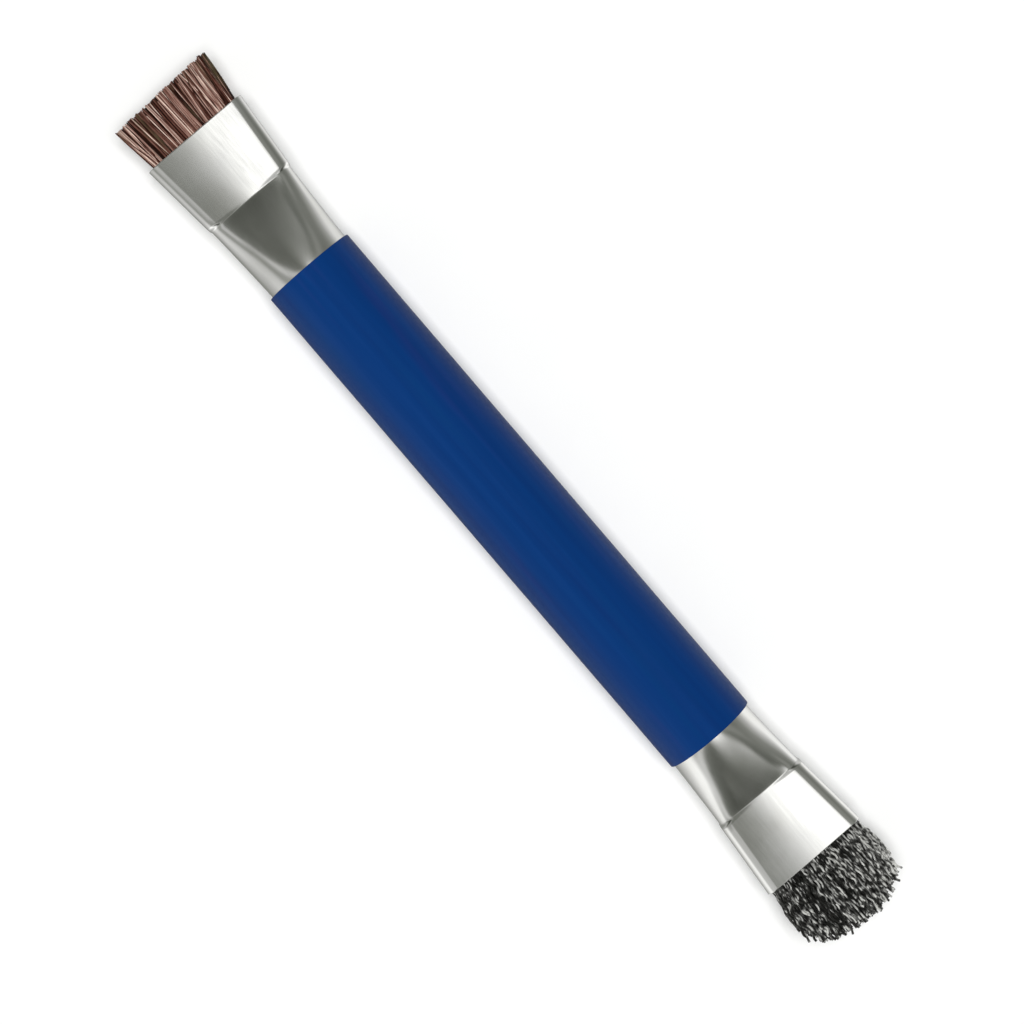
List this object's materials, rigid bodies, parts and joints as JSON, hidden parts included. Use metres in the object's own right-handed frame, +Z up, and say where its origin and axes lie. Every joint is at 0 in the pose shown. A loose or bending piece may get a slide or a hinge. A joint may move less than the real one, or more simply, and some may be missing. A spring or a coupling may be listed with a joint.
{
  "type": "club groove brush",
  "caption": "Double-ended hand brush with a round sleeved handle, pressed flat metal ferrules, a stiff natural-fibre tuft at one end and a domed crimped-wire tuft at the other.",
  "frame": {"origin": "on the surface that the brush lies on, under its axis and under the middle of its overall length", "axes": "+X along the brush towards the wire tuft, +Y across the flats of the jaws, +Z up, square to the flats"},
  "size_m": [0.1738, 0.0196, 0.016],
  "materials": {
    "core_wood": "unfinished turned softwood",
    "grip_vinyl": "satin blue vinyl tube",
    "ferrule_aluminium": "bright drawn tube, pressed flat",
    "brad_steel": "plain bright wire brad",
    "wad_board": "pressed grey-brown board",
    "setting_resin": "amber setting resin",
    "spacer_wood": "sawn strip",
    "natural_fibre": "stiff natural bristle, dark brown to tan",
    "crimped_wire": "crimped spring-steel wire, oil-blackened with bright high spots"
  },
  "bodies": {
    "root": {"handle_core": "core_wood", "grip_sleeve": "grip_vinyl", "fibre_ferrule": "ferrule_aluminium", "wire_ferrule": "ferrule_aluminium", "fibre_ferrule_brads": "brad_steel", "wire_ferrule_brads": "brad_steel", "fibre_backing_wad": "wad_board", "wire_backing_wad": "wad_board", "fibre_resin_set": "setting_resin", "wire_resin_set": "setting_resin", "fibre_spacer": "spacer_wood", "wire_spacer": "spacer_wood", "fibre_tuft": "natural_fibre", "wire_tuft": "crimped_wire"}
  },
  "joints": []
}
